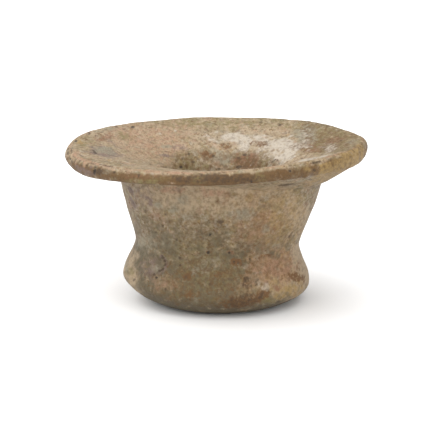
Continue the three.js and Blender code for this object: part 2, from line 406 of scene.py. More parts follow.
RIM_RIGHT = (
    Mark("umber", across=261, down=121.8, wide=4, high=2, strength=0.8),
    Mark("umber", across=279.6, down=124.8, wide=4, high=3, strength=0.8),
    Mark("umber", across=285.6, down=121.4, wide=3, high=2, strength=0.6),
    Mark("rust", across=260.5, down=144.2, wide=12, high=5.5, tilt=-10, strength=0.85, lift=-0.12),
    Mark("umber", across=266.5, down=142, wide=4, high=2.4, strength=0.6),
    Mark("white", across=284, down=145, wide=30, high=14, strength=1.1, lift=0.1),
    Mark("white", across=290, down=150, wide=16, high=24, strength=1.3, lift=0.12),
    Mark("white", across=284, down=156, wide=30, high=13, strength=1.0, lift=0.1),
    Mark("olive", across=277, down=139.7, wide=7, high=3.4, strength=0.95),
    Mark("slate", across=306.5, down=136, wide=27, high=17, strength=1.2, lift=0.12),
    Mark("white", across=306, down=134, wide=20, high=10, strength=0.55),
    Mark("mauve", across=306, down=139, wide=16, high=8, strength=0.5),
    Mark("umber", across=306.8, down=134.5, wide=3, high=2.2, strength=0.75),
    Mark("umber", across=305.9, down=142.7, wide=3, high=2.2, strength=0.7),
    Mark("white", across=304, down=129.8, wide=18, high=2.6, tilt=4, strength=0.55),
    Mark("mauve", across=297, down=147.5, wide=8, high=8, strength=0.9),
    Mark("russet", across=311, down=150, wide=20, high=9, strength=0.9),
    Mark("white", across=308.5, down=150.3, wide=4, high=3.4, tilt=-40, strength=0.7),
    Mark("rust", across=320, down=151, wide=6, high=5, strength=0.5),
    Mark("russet", across=333.5, down=139.5, wide=22, high=8, strength=0.9),
    Mark("umber", across=341.5, down=140.4, wide=4, high=2.4, strength=0.65),
    stroke("olive", start=(322, 132.5), end=(331, 136.5), thick=4, strength=0.9),
    stroke("white", start=(326, 134), end=(328.5, 130.5), thick=1.4, strength=0.5),
    Mark("white", across=331, down=149.4, wide=13, high=9, tilt=-30, strength=1.1),
    Mark("white", across=323.5, down=156.5, wide=18, high=6, tilt=-14, strength=1.1),
    Mark("white", across=307, down=160, wide=28, high=6, tilt=-6, strength=1.1),
    Mark("umber", across=302, down=158.8, wide=3.4, high=2, strength=0.8),
    Mark("umber", across=308.5, down=160.6, wide=3, high=2, strength=0.6),
    Mark("umber", across=346.8, down=139.7, wide=3.4, high=2, strength=0.8),
    Mark("umber", across=340, down=157.8, wide=5, high=2, strength=0.65),
    Mark("yellow", across=347, down=136, wide=5, high=2.6, strength=0.8),
    Mark("pink", across=354.5, down=147.5, wide=10, high=5, tilt=-30, strength=0.9),
    Mark("slate", across=352, down=142.5, wide=11, high=5, tilt=-15, strength=0.9),
    Mark("slate", across=322, down=124.5, wide=42, high=4.5, tilt=12, strength=0.6),
    Mark("yellow", across=361, down=148, wide=7, high=14, strength=0.9),
    Mark("yellow", across=355, down=159, wide=30, high=22, tilt=-35, strength=1.2),
    stroke("umber", start=(325, 160), end=(357, 147.5), thick=1.8, strength=0.4),
)

LIP_FRONT = (
    Mark("umber", across=138.5, down=175.4, wide=3, high=4, strength=0.7),
    Mark("russet", across=145, down=176.5, wide=48, high=4.5, strength=0.6),
    Mark("rust", across=215, down=179, wide=120, high=8, strength=0.5),
    Mark("olive", across=145, down=182, wide=50, high=6, strength=0.8),
    Mark("brown", across=181, down=180.5, wide=26, high=10, strength=0.8),
    Mark("rust", across=185.8, down=180.2, wide=6, high=4, strength=0.6),
    Mark("olive", across=199, down=180, wide=18, high=8, strength=0.8),
    Mark("brown", across=224, down=180.5, wide=44, high=11, strength=1.0),
    Mark("black", across=181.7, down=186.3, wide=3, high=2, strength=0.7),
    Mark("black", across=231.3, down=186, wide=3, high=2, strength=0.7),
    Mark("black", across=224.5, down=186.3, wide=3, high=1.8, strength=0.6),
    Mark("rust", across=203, down=185, wide=9, high=2.4, strength=0.7),
    Mark("brown", across=246, down=179, wide=14, high=10, strength=0.8),
    Mark("black", across=251.6, down=181.8, wide=3.6, high=3.4, strength=0.8),
    Mark("olive", across=261, down=178, wide=18, high=10, strength=0.6),
    Mark("brown", across=280, down=176.5, wide=22, high=12, strength=0.8),
    Mark("rust", across=284, down=172, wide=26, high=4, tilt=-10, strength=0.45),
    Mark("black", across=290, down=171.2, wide=3.4, high=3.2, strength=0.8),
    Mark("black", across=295, down=171.8, wide=2.4, high=2.4, strength=0.6),
    Mark("umber", across=315.8, down=162.3, wide=13, high=3, tilt=-6, strength=0.65),
    stroke("umber", start=(270, 168.5), end=(325, 161.5), thick=1.8, strength=0.45),
    *bow("umber", centre=(275.7, 164.3), radius=4, first=-170, last=-10, thick=1.8, strength=0.65),
    Mark("russet", across=275.7, down=165, wide=5, high=3, strength=0.7),
    Mark("yellow", across=307, down=169.4, wide=10, high=7, strength=0.7),
    Mark("umber", across=314.5, down=170.3, wide=3.6, high=3.4, strength=0.85),
    Mark("brown", across=302, down=175.5, wide=12, high=8, strength=0.7),
    stroke("white", start=(312.4, 170.8), end=(303.8, 180.4), thick=3.4, strength=0.6, lift=0.45),
    stroke("slate", start=(303.8, 180.4), end=(293.4, 182), thick=2.4, strength=0.7, lift=0.25),
    Mark("umber", across=310.2, down=180, wide=5, high=3, strength=0.6),
    stroke("umber", start=(276.5, 186), end=(296, 183.6), thick=2.4, strength=0.75),
)

STREAK_GAP = 1.9  # pixels between the pale streaks under the lip

BODY_UPPER = (
    Mark("pink", across=172, down=190.5, wide=28, high=6, strength=0.9),
    Mark("pink", across=214, down=193, wide=30, high=9, strength=0.8),
    # The mauve and umber strokes down the folds under the left of the rim are a purplish film, dark soil
    # and painted shade in their creases.
    stroke("mauve", start=(127.5, 186.3), end=(134, 194), thick=4, strength=1.3),
    stroke("umber", start=(128, 187), end=(133.5, 194), thick=1.8, strength=0.5, lift=-0.25),
    stroke("mauve", start=(129, 195), end=(136.7, 208), thick=4.4, strength=1.3),
    stroke("umber", start=(130, 197), end=(136.5, 208), thick=1.8, strength=0.45, lift=-0.25),
    stroke("mauve", start=(146, 195), end=(152.5, 206), thick=5, strength=1.3),
    stroke("umber", start=(143, 208.5), end=(146.5, 214), thick=2.6, strength=0.5),
    Mark("umber", across=130.4, down=187.7, wide=3.4, high=2.6, strength=0.6),
    stroke("white", start=(158, 201.6), end=(169, 200.6), thick=1.3, strength=0.45),
    stroke("white", start=(169, 200.6), end=(176, 200.2), thick=1.3, strength=0.4),
    Mark("slate", across=157.7, down=205.3, wide=10, high=6, strength=0.9),
    Mark("slate", across=183.7, down=199.6, wide=14, high=8, strength=0.8),
    Mark("slate", across=173, down=210, wide=12, high=8, strength=0.8),
    Mark("russet", across=157, down=214.4, wide=8, high=7, strength=0.6),
    Mark("umber", across=165, down=214.4, wide=3.6, high=4, strength=0.5),
    Mark("umber", across=162.6, down=226, wide=4.5, high=4, strength=0.6),
    Mark("umber", across=155.6, down=232.6, wide=4, high=3.4, strength=0.6),
    Mark("umber", across=178.4, down=229, wide=3.6, high=4, strength=0.55),
    Mark("umber", across=176.7, down=239.6, wide=3.2, high=3.2, strength=0.65),
    Mark("umber", across=153, down=242.5, wide=3.6, high=3.2, strength=0.5),
    Mark("black", across=210, down=235, wide=3.2, high=3.2, strength=0.8),
    Mark("umber", across=196.3, down=213.7, wide=4.5, high=3, strength=0.5),
    Mark("umber", across=216.7, down=220, wide=3, high=3, strength=0.55),
    Mark("umber", across=209, down=220, wide=3, high=3, strength=0.5),
    Mark("umber", across=191, down=215, wide=3, high=3, strength=0.45),
    Mark("brown", across=197, down=242, wide=13, high=7, strength=0.6),
    Mark("slate", across=143, down=243, wide=18, high=10, strength=0.9),
    *(stroke("white", start=(247, 191.5 - row * STREAK_GAP), end=(274, 190 - row * STREAK_GAP),
             thick=1.3, strength=0.4) for row in range(3)),
    Mark("russet", across=223, down=202, wide=14, high=8, strength=0.6),
    Mark("umber", across=242.8, down=206.8, wide=5, high=1.8, strength=0.6),
    Mark("slate", across=244, down=214, wide=22, high=14, strength=0.85),
    Mark("slate", across=228, down=214, wide=10, high=7, strength=0.7),
    Mark("white", across=221.4, down=215.2, wide=2.6, high=2.2, strength=0.6),
    Mark("umber", across=220.5, down=222.5, wide=9, high=3.2, tilt=8, strength=0.85),
    Mark("russet", across=260, down=222, wide=16, high=36, tilt=18, strength=0.5),
    Mark("slate", across=265, down=229, wide=8, high=9, strength=0.95),
    Mark("white", across=263, down=237.5, wide=2.6, high=2.6, strength=0.6),
    Mark("umber", across=280.7, down=236.6, wide=3.2, high=2.6, strength=0.75),
    Mark("umber", across=289, down=236.6, wide=3.2, high=3, strength=0.7),
    stroke("umber", start=(287, 238), end=(294, 231), thick=2.6, strength=0.5),
    Mark("russet", across=274.2, down=229, wide=3, high=6, strength=0.85),
    stroke("umber", start=(289, 193), end=(298, 187.5), thick=1.8, strength=0.55),
    Mark("olive", across=281, down=217, wide=8, high=12, strength=0.6),
)

BODY_LOW = (
    *bow("mauve", centre=(157, 264), radius=9.5, first=-75, last=80, thick=3.4, strength=1.0),
    *bow("umber", centre=(157, 263), radius=8.5, first=-60, last=85, thick=2.6, strength=0.95, lift=-0.2),
    Mark("mauve", across=150, down=268, wide=30, high=26, strength=0.65),
    Mark("slate", across=156, down=268.5, wide=11, high=9, strength=0.8),
    Mark("black", across=156.4, down=278, wide=3.2, high=3, strength=0.9),
    Mark("umber", across=154.3, down=274.5, wide=3, high=2.4, strength=0.8),
    Mark("umber", across=163, down=273, wide=3, high=2.4, strength=0.7),
    Mark("umber", across=133.6, down=280, wide=3.6, high=2.6, strength=0.8),
    Mark("umber", across=180.3, down=258.6, wide=4, high=5, strength=0.7),
    Mark("umber", across=180, down=264.8, wide=3, high=3, strength=0.75),
    Mark("umber", across=165.2, down=289.5, wide=3, high=3, strength=0.75),
    Mark("rust", across=208.3, down=252.3, wide=9, high=7, strength=0.55),
    Mark("black", across=208.3, down=252.3, wide=3.8, high=4, strength=0.8),
    Mark("rust", across=188.7, down=276.5, wide=12, high=11, strength=0.85),
    Mark("rust", across=189.4, down=295.4, wide=9, high=11, strength=0.85),
    Mark("brown", across=157, down=293.5, wide=14, high=6, strength=0.6),
    Mark("yellow", across=145.2, down=266, wide=8, high=5, strength=0.6),
    Mark("rust", across=219, down=274, wide=16, high=7, strength=0.8),
    Mark("olive", across=216, down=273, wide=24, high=9, strength=0.9),
    Mark("umber", across=221, down=276, wide=4, high=4, strength=0.5),
    Mark("umber", across=210.5, down=285, wide=5, high=4, strength=0.55),
    Mark("olive", across=129, down=271.6, wide=9, high=9, strength=0.9),
    Mark("slate", across=194.3, down=270.2, wide=8, high=9, strength=0.9),
    Mark("slate", across=206, down=270, wide=9, high=10, strength=0.8),
    Mark("slate", across=195.7, down=301.8, wide=11, high=8, strength=0.6),
    Mark("slate", across=126, down=263, wide=6, high=12, strength=0.8),
    Mark("pink", across=164, down=283, wide=34, high=15, strength=0.6),
    Mark("rust", across=178, down=304.5, wide=9, high=4, strength=0.6),
    Mark("rust", across=241, down=303, wide=36, high=11, tilt=-6, strength=1.1),
    Mark("rust", across=259, down=297, wide=30, high=10, tilt=-22, strength=1.0),
    Mark("black", across=229.3, down=252.5, wide=3.2, high=3.2, strength=0.8),
    Mark("russet", across=231, down=252, wide=9, high=7, strength=0.6),
    Mark("rust", across=236, down=262, wide=13, high=8, strength=1.1),
    Mark("black", across=234, down=262, wide=3.4, high=3.4, strength=0.65),
    Mark("black", across=238.4, down=262.8, wide=3.2, high=2.8, strength=0.6),
    Mark("umber", across=250, down=259.6, wide=3.4, high=3.4, strength=0.7),
    *bow("rust", centre=(267, 269), radius=14, first=-135, last=-55, thick=3, strength=0.6),
    Mark("russet", across=266.5, down=255.8, wide=16, high=3.4, strength=0.7),
    Mark("umber", across=279, down=256.2, wide=3, high=2.2, strength=0.6),
    Mark("umber", across=246.4, down=279, wide=8, high=4.5, strength=0.75),
    Mark("rust", across=249, down=282.5, wide=6, high=5, strength=0.6),
    Mark("umber", across=251, down=286.5, wide=3, high=5, strength=0.65),
    Mark("umber", across=256.4, down=284, wide=4.5, high=4, strength=0.7),
    Mark("umber", across=258, down=279, wide=5, high=5, strength=0.5),
    Mark("rust", across=230.7, down=289.3, wide=10, high=4.5, strength=0.65),
    Mark("white", across=264, down=286, wide=22, high=11, tilt=25, strength=0.55),
    stroke("white", start=(257, 285.5), end=(271, 291.5), thick=4, strength=0.6),
    Mark("white", across=258, down=272.5, wide=9, high=4, strength=0.5),
    Mark("white", across=246, down=267, wide=8, high=8, strength=0.45),
    Mark("russet", across=277, down=288.5, wide=9, high=7, strength=0.95),
    Mark("white", across=284, down=283, wide=8, high=5, strength=0.35),
    Mark("olive", across=268, down=300.7, wide=18, high=7, strength=0.8),
    Mark("rust", across=296, down=277, wide=22, high=9, tilt=8, strength=1.0),
    Mark("yellow", across=290, down=290, wide=34, high=16, tilt=-25, strength=0.8),
    Mark("russet", across=298, down=267, wide=5, high=16, tilt=15, strength=0.7),
    Mark("pink", across=277, down=264, wide=40, high=12, strength=0.7),
    Mark("slate", across=276, down=246, wide=12, high=7, strength=0.8),
)

RUST_SPILL = (
    Mark("rust", across=229, down=307.5, wide=13, high=4, strength=0.75),
    Mark("rust", across=248.6, down=304.5, wide=10, high=4, strength=0.75),
    Mark("umber", across=246, down=301, wide=46, high=14, tilt=-14, strength=0.5),
    Mark("umber", across=244, down=297, wide=5, high=3, strength=0.7),
    Mark("umber", across=260, down=297.5, wide=5, high=3.4, strength=0.7),
    Mark("umber", across=251.4, down=300, wide=3.4, high=3, strength=0.7),
    Mark("umber", across=237, down=302, wide=4, high=3, strength=0.6),
    Mark("yellow", across=240, down=304.6, wide=5, high=3, strength=0.9),
    Mark("white", across=231.4, down=307, wide=4, high=2, strength=0.6),
)

MARKS = (*WASHES, *RIM_LEFT, *WELL_AND_BACK, *RIM_RIGHT, *LIP_FRONT, *BODY_UPPER, *BODY_LOW, *RUST_SPILL)

# One coat of stain, some of them painted light and shade: how large its blots are, in millimetres, how
# ragged its edges, where its cover begins and is full, and how much of what is under it it hides
Coat = namedtuple("Coat", "blot ragged begins full cover")

COATS = {
    "pale": Coat(blot=2.2, ragged=3.0, begins=0.1, full=1.2, cover=0.9),
    "pink": Coat(blot=1.6, ragged=3.8, begins=0.15, full=1.1, cover=0.85),
    "olive": Coat(blot=1.5, ragged=3.8, begins=0.15, full=1.1, cover=0.85),
    "yellow": Coat(blot=1.5, ragged=3.8, begins=0.15, full=1.1, cover=0.85),
    "mauve": Coat(blot=1.4, ragged=3.8, begins=0.15, full=1.1, cover=0.85),
    "slate": Coat(blot=1.6, ragged=3.2, begins=0.15, full=1.05, cover=0.88),
    "russet": Coat(blot=1.1, ragged=4.0, begins=0.2, full=1.2, cover=0.85),
    "white": Coat(blot=1.6, ragged=3.0, begins=0.2, full=1.1, cover=0.95),
    "rust": Coat(blot=0.9, ragged=4.2, begins=0.25, full=1.0, cover=0.9),
    "brown": Coat(blot=1.1, ragged=4.2, begins=0.22, full=1.1, cover=0.9),
    "umber": Coat(blot=0.9, ragged=2.4, begins=0.22, full=0.75, cover=0.85),
    "black": Coat(blot=0.6, ragged=1.4, begins=0.3, full=0.75, cover=0.9),
}

# Soil that clings to the lip and painted shade low on the sides, the colour of each and where its noise
# is taken
DIRT_AND_SHADE = {"painted_shade": ("painted_shade", 6.0), "soil": ("brown", 5.0)}
DIRT_AND_SHADE_COAT = Coat(blot=2.2, ragged=4.4, begins=0.05, full=1.0, cover=0.95)

# Blots over the whole crust: their pigment and width in millimetres, where in the noise they begin and
# are full, how much they hide, where their noise is taken and how fine it is
Mottle = namedtuple("Mottle", "pigment blot begins full cover seed detail", defaults=(6.0,))

SHADE = Mottle("shade", blot=7.0, begins=0.38, full=0.62, cover=1.0, seed=0.0)
MOTTLES = (
    Mottle("olive", blot=4.6, begins=0.5, full=0.6, cover=0.55, seed=0.97),
    Mottle("pink", blot=3.8, begins=0.53, full=0.63, cover=0.5, seed=0.53),
    Mottle("slate", blot=2.9, begins=0.54, full=0.64, cover=0.6, seed=1.31),
    Mottle("yellow", blot=2.1, begins=0.55, full=0.65, cover=0.5, seed=3.37),
    Mottle("mauve", blot=1.7, begins=0.56, full=0.66, cover=0.45, seed=4.13),
    Mottle("pale", blot=1.2, begins=0.53, full=0.63, cover=0.5, seed=2.71),
    Mottle("russet", blot=1.3, begins=0.57, full=0.67, cover=0.5, seed=1.73),
    Mottle("brown", blot=1.0, begins=0.58, full=0.68, cover=0.5, seed=2.19),
    Mottle("white", blot=1.0, begins=0.48, full=0.68, cover=0.32, seed=1.7),
)
SPECKS = Mottle("brown", blot=1.2, begins=0.58, full=0.64, cover=0.75, seed=6.1, detail=4.0)
DARK_GRAIN = Mottle("grain", blot=1.0, begins=0.54, full=0.32, cover=0.42, seed=1.7)

# Worn crust on top of the rim, and also painted light that makes the top paler than the sides: the width
# of its blots in millimetres, how ragged its edge is, where its cover begins and is full and how much it
# hides
WORN_AND_LIT = Coat(blot=4.5, ragged=1.6, begins=0.2, full=0.9, cover=0.7)

# Fine relief of the crust, as shares of its height in millimetres
RELIEF_HEIGHT = 0.4
LUMP_SHARE = 1.2
GRIT_SHARE = 0.5
BLACK_PIT = 0.5
UMBER_PIT = 0.25
WHITE_RISE = 0.2

# The crust is matt, and a little less so in places
ROUGHNESS = 0.5
ROUGHNESS_RANGE = 0.3
SHEEN = 0.3

# The clouds of noise are longer from front to back
CLOUD_SCALE = (1.0, 0.6, 1.0)
CLOUD_ROUGHNESS = 0.6


# Shader sheet


class Wire:
    """One output of a node, with the sums that the materials need."""

    def __init__(self, sheet, socket):
        self.sheet = sheet
        self.socket = socket

    def maths(self, operation, first, second):
        """The Math node of two values."""
        return self.sheet.node("ShaderNodeMath", {"operation": operation}, {0: first, 1: second})

    def __add__(self, other):
        return self.maths("ADD", self, other)

    __radd__ = __add__

    def __mul__(self, other):
        return self.maths("MULTIPLY", self, other)

    __rmul__ = __mul__

    def __sub__(self, other):
        return self.maths("SUBTRACT", self, other)

    def __rsub__(self, other):
        return self.maths("SUBTRACT", other, self)


class Sheet:
    """The node sheet of one material."""

    def __init__(self, name):
        self.material = bpy.data.materials.new(name)
        self.material.use_nodes = True
        self.tree = self.material.node_tree
        self.tree.nodes.clear()

    def node(self, kind, settings=None, sockets=None, output=0):
        """Any node: its settings first, then the values or links of its sockets."""
        made = self.tree.nodes.new(kind)
        for key, value in (settings or {}).items():
            setattr(made, key, value)
        for key, value in (sockets or {}).items():
            if isinstance(value, Wire):
                self.tree.links.new(value.socket, made.inputs[key])
            else:
                made.inputs[key].default_value = value
        return Wire(self, made.outputs[output]) if made.outputs else None

    def attribute(self, name):
        """A value that is kept on the points of the mesh."""
        settings = {"attribute_type": "GEOMETRY", "attribute_name": name}
        return self.node("ShaderNodeAttribute", settings, output="Fac")

    def clouds(self, blot, seed, detail=6.0):
        """Cloudy noise round a half, its blots that many millimetres across."""
        place = self.node("ShaderNodeTexCoord", output="Object")
        slant = {"Vector": place, "Location": (seed, -seed, seed), "Scale": CLOUD_SCALE}
        moved = self.node("ShaderNodeMapping", None, slant)
        sockets = {"Vector": moved, "Scale": 1.0 / (blot * MM), "Detail": detail,
                   "Roughness": CLOUD_ROUGHNESS}
        return self.node("ShaderNodeTexNoise", {"noise_dimensions": "3D"}, sockets, output="Fac")

    def step(self, value, begins, full):
        """0 before it begins, 1 where it is full and a soft step between."""
        sockets = {"Value": value, "From Min": begins, "From Max": full}
        return self.node("ShaderNodeMapRange", {"interpolation_type": "SMOOTHSTEP"}, sockets)

    def blend(self, share, under, over):
        """One colour laid over another."""
        return self.node("ShaderNodeMix", {"data_type": "RGBA"}, {0: share, 6: under, 7: over}, 2)

    def finish(self, **sockets):
        """End the sheet with one shader."""
        named = {name.replace("_", " "): value for name, value in sockets.items()}
        shader = self.node("ShaderNodeBsdfPrincipled", None, named)
        self.node("ShaderNodeOutputMaterial", None, {"Surface": shader})
        return self.material


def opaque(colour):
    """A colour with its alpha."""
    return (*colour, 1.0)


def mottled(sheet, under, mottle, colours):
    """Blots of noise laid over the whole crust."""
    clouds = sheet.clouds(mottle.blot, mottle.seed, mottle.detail)
    share = sheet.step(clouds, mottle.begins, mottle.full) * mottle.cover
    return sheet.blend(share, under, opaque(getattr(colours, mottle.pigment)))


def coated(sheet, under, field, coat, seed, colour):
    """A coat of stain or of painted light and shade, where its field is kept on the mesh, its edge frayed
    by noise.
    """
    frayed = (sheet.clouds(coat.blot, seed) - 0.5) * coat.ragged + 1.0
    share = sheet.step(sheet.attribute(field) * frayed, coat.begins, coat.full) * coat.cover
    return sheet.blend(share, under, opaque(colour))


def worn_and_lit_coat(sheet, under, colours):
    """The worn crust on top of the rim, and also painted light that makes the top paler than the sides.
    """
    frayed = sheet.attribute("worn_and_lit") + (sheet.clouds(WORN_AND_LIT.blot, seed=4.0) - 0.5) * WORN_AND_LIT.ragged
    share = sheet.step(frayed, WORN_AND_LIT.begins, WORN_AND_LIT.full) * WORN_AND_LIT.cover
    return sheet.blend(share, under, opaque(colours.pale))


def fine_relief(sheet):
    """Lumps and grit of the crust, pitted under dark specks and raised under white flakes."""
    lumps = sheet.clouds(blot=1.3, seed=2.1, detail=3.0) * LUMP_SHARE
    grit = sheet.clouds(blot=0.45, seed=2.6, detail=2.0) * GRIT_SHARE
    pits = sheet.attribute("black") * BLACK_PIT + sheet.attribute("umber") * UMBER_PIT
    height = lumps + grit - pits + sheet.attribute("white") * WHITE_RISE
    sockets = {"Height": height, "Strength": 1.0, "Distance": RELIEF_HEIGHT * MM}
    return sheet.node("ShaderNodeBump", None, sockets)


def crust_material(colours):
    """Mottled crust under the coats of stain and of painted light and shade, whose places are kept on the
    mesh.
    """
    sheet = Sheet("weathered_glass")
    colour = mottled(sheet, opaque(colours.ground), SHADE, colours)
    colour = worn_and_lit_coat(sheet, colour, colours)
    for mottle in MOTTLES:
        colour = mottled(sheet, colour, mottle, colours)
    # Soil on the lip, and painted shade low on the sides
    for field, (pigment, seed) in DIRT_AND_SHADE.items():
        colour = coated(sheet, colour, field, DIRT_AND_SHADE_COAT, seed, getattr(colours, pigment))
    colour = mottled(sheet, colour, SPECKS, colours)
    for number, (pigment, coat) in enumerate(COATS.items(), start=1):
        colour = coated(sheet, colour, pigment, coat, 0.1 * number, getattr(colours, pigment))
    colour = mottled(sheet, colour, DARK_GRAIN, colours)
    roughness = sheet.clouds(blot=1.8, seed=3.3, detail=2.0) * ROUGHNESS_RANGE + ROUGHNESS
    return sheet.finish(Base_Color=colour, Roughness=roughness, Normal=fine_relief(sheet),
                        Specular_IOR_Level=SHEEN)


# Shape


def bend(start, first, second, end, steps):
    """Points along a cubic curve, without its first."""
    points = []
    for i in range(1, steps + 1):
        t = i / steps
        s = 1.0 - t
        shares = (s ** 3, 3 * s * s * t, 3 * s * t * t, t ** 3)
        corners = (start, first, second, end)
        points.append(tuple(sum(w * c[k] for w, c in zip(shares, corners)) for k in range(2)))
    return points


def straight(start, end, steps):
    """Points along a straight line, without its first."""
    return bend(start, start, end, end, steps)


def half_round(edge, middle, reach, rise, steps):
    """Points of the lip's round from its lower edge to its upper one, without the first."""
    points = []
    for i in range(1, steps + 1):
        angle = math.pi * (i / steps - 0.5)
        points.append((edge + reach * math.cos(angle), middle + rise * math.sin(angle)))
    return points


def beside(point, out, up):
    """The place that many millimetres out and up from a point."""
    return point[0] + out * MM, point[1] + up * MM


def profile(shape):
    """The closed line of the vessel's section, as (radius, height), from axis to axis."""
    middle = (0.0, shape.hollow_depth)
    ring = (shape.hollow_radius, 0.0)
    foot = (shape.foot_radius, 0.0)
    bulge = (shape.bulge_radius, shape.bulge_height)
    waist = (shape.waist_radius, shape.waist_height)
    neck = (shape.neck_radius, shape.neck_height)
    edge = shape.rim_radius - shape.lip_round
    lip_low = (edge, shape.lip_height)
    lip_high = (edge, shape.lip_height + shape.lip_thickness)
    mouth = (shape.mouth_radius, shape.mouth_height)
    well = (shape.well_radius, shape.floor + WELL_CORNER * MM)
    corner = (shape.well_radius, shape.floor)
    half_lip = shape.lip_thickness / 2
    points = [middle]
    points += bend(middle, (ring[0] / 2, middle[1]), (ring[0] * HOLLOW_EASE, 0.0), ring, STEPS["hollow"])
    points += straight(ring, foot, STEPS["ring"])
    points += bend(foot, beside(foot, FOOT_FULLNESS, 0.0), beside(bulge, 0.0, -FOOT_FULLNESS), bulge,
                   STEPS["base"])
    points += bend(bulge, beside(bulge, 0.0, BULGE_FULLNESS), beside(waist, 0.0, -WAIST_FULLNESS), waist,
                   STEPS["bulge"])
    points += bend(waist, beside(waist, 0.0, WAIST_FULLNESS), beside(neck, -NECK_SPREAD, -NECK_SWEEP),
                   neck, STEPS["side"])
    points += straight(neck, lip_low, STEPS["under"])
    points += half_round(edge, lip_low[1] + half_lip, shape.lip_round, half_lip, STEPS["lip"])
    points += bend(lip_high, beside(lip_high, -DISH_REACH, -DISH_DROP),
                   beside(mouth, MOUTH_SPREAD, MOUTH_SWEEP), mouth, STEPS["top"])
    points += straight(mouth, well, STEPS["well"])
    points += bend(well, corner, beside(corner, -WELL_FLAT, 0.0), (0.0, shape.floor), STEPS["floor"])
    return points


def spun(shape):
    """The vessel in the true round."""
    bm = bmesh.new()
    verts = [bm.verts.new((radius, 0.0, height)) for radius, height in profile(shape)]
    edges = [bm.edges.new(pair) for pair in zip(verts, verts[1:])]
    bmesh.ops.spin(bm, geom=verts + edges, cent=(0, 0, 0), axis=(0, 0, 1), angle=2 * math.pi,
                   steps=shape.turns, use_merge=True)
    bmesh.ops.remove_doubles(bm, verts=bm.verts, dist=0.001 * MM)
    bmesh.ops.recalc_face_normals(bm, faces=bm.faces)
    mesh = bpy.data.meshes.new("patera_vessel")
    bm.to_mesh(mesh)
    bm.free()
    return mesh


def eased(value, low, high):
    """0 below low, 1 above high and a soft step between."""
    t = np.clip((value - low) / (high - low), 0.0, 1.0)
    return t * t * (3.0 - 2.0 * t)


def staged(height, stages, values):
    """A value that eases from one to the next over the stages of the body."""
    total = np.full_like(height, values[0])
    for i in range(1, len(stages)):
        total += (values[i] - values[i - 1]) * eased(height, stages[i - 1], stages[i])
    return total


def round_about(places):
    """The radius, turn and height of each point."""
    x, y, height = places.T
    return np.hypot(x, y), np.arctan2(y, x), height


def rimwards(radius, shape):
    """0 on the body and 1 at the edge of the rim."""
    return np.clip((radius - shape.neck_radius) / (shape.rim_radius - shape.neck_radius), 0.0, 1.0)


def settle(places, shape):
    """Where the points of the true round have settled with the soft glass."""
    radius, turn, height = round_about(places)
    right = np.cos(turn)
    back = np.sin(turn)
    rimward = rimwards(radius, shape)
    rim_foot = shape.neck_height + (shape.lip_height - shape.neck_height) * rimward
    topward = eased(height, rim_foot, rim_foot + SAG_FADE * MM)
    bodyward = np.minimum(radius / shape.neck_radius, 1.0) * (1.0 - rimward) * (1.0 - topward)
    stages = (0.0, shape.bulge_height, shape.waist_height, shape.neck_height)
    lip_middle = shape.lip_height + shape.lip_thickness / 2

    shift = staged(height, stages, (FOOT_SHIFT, 0.0, WAIST_SHIFT, NECK_SHIFT)) * (1.0 - rimward)
    sag = staged(height, stages, (0.0, BODY_SAG, BODY_SAG, NECK_SAG)) * right
    back_sag = staged(height, stages, (0.0, 0.0, 0.0, NECK_SAG_BACK)) * back
    rise = RIM_RISE_RIGHT * right + RIM_RISE_BACK * back - RIM_TWIST * np.sin(2 * turn)
    swell = LIP_SWELL * right * (height - lip_middle) / shape.lip_thickness * rimward
    oval = (RIM_OVAL_SLANT * np.sin(2 * turn) - RIM_OVAL * np.cos(2 * turn)) * rimward
    moved = np.stack((oval * right + shift, oval * back, rise * rimward + swell), axis=1)
    moved[:, 2] -= (sag + back_sag) * bodyward
    for bump in RIM_BUMPS:
        apart = (np.degrees(turn) - bump.turn + 180.0) % 360.0 - 180.0
        near = np.exp(-(apart / bump.spread) ** 2) * rimward
        moved[:, 0] += bump.outward * near * right
        moved[:, 1] += bump.outward * near * back
        moved[:, 2] += near * (bump.upward * topward - bump.downward * (1.0 - topward))
    return places + moved * MM


def read_points(mesh, collection="vertices", field="co"):
    """The points or normals of a mesh as one array."""
    values = np.empty(len(mesh.vertices) * 3)
    getattr(mesh, collection).foreach_get(field, values)
    return values.reshape(-1, 3)


def write_points(mesh, places):
    """Move the points of a mesh."""
    mesh.vertices.foreach_set("co", places.ravel())
    mesh.update()


def cloud(places, blot, seed, octaves=3):
    """Cloudy noise round nought on the points, its blots that many millimetres across."""
    scaled = places / (blot * MM) + np.array((seed, -1.7 * seed, 0.6 * seed))
    return np.array([noise.fractal(place, 1.0, 2.0, octaves) for place in scaled.tolist()])


# Camera


def camera_view(studio):
    """Where the picture was taken from, with the forward, right and up directions there."""
    slope = studio.elevation
    away = Vector((0.0, -math.cos(slope), math.sin(slope)))
    eye = Vector((0.0, 0.0, studio.centre_height)) + away * studio.distance
    forward = (Vector(AIM) * MM - eye).normalized()
    right = forward.cross(Vector((0.0, 0.0, 1.0))).normalized()
    return eye, forward, right, right.cross(forward)


def sight(view, across, down):
    """The direction from the camera through a pixel of the picture."""
    _, forward, right, up = view
    focal = LENS / SENSOR * PIXELS
    return (forward * focal + right * (across - PIXELS / 2) + up * (PIXELS / 2 - down)).normalized()


# Stains and painted light and shade


# How much clouds of each size, in millimetres, fray the edge of a mark that is larger than they are
EDGES = ((9.0, 0.5), (3.6, 0.45), (1.5, 0.35))

# A mark on the surface: its middle, half its width and height as vectors and the surface's normal
Spot = namedtuple("Spot", "middle side rise normal")

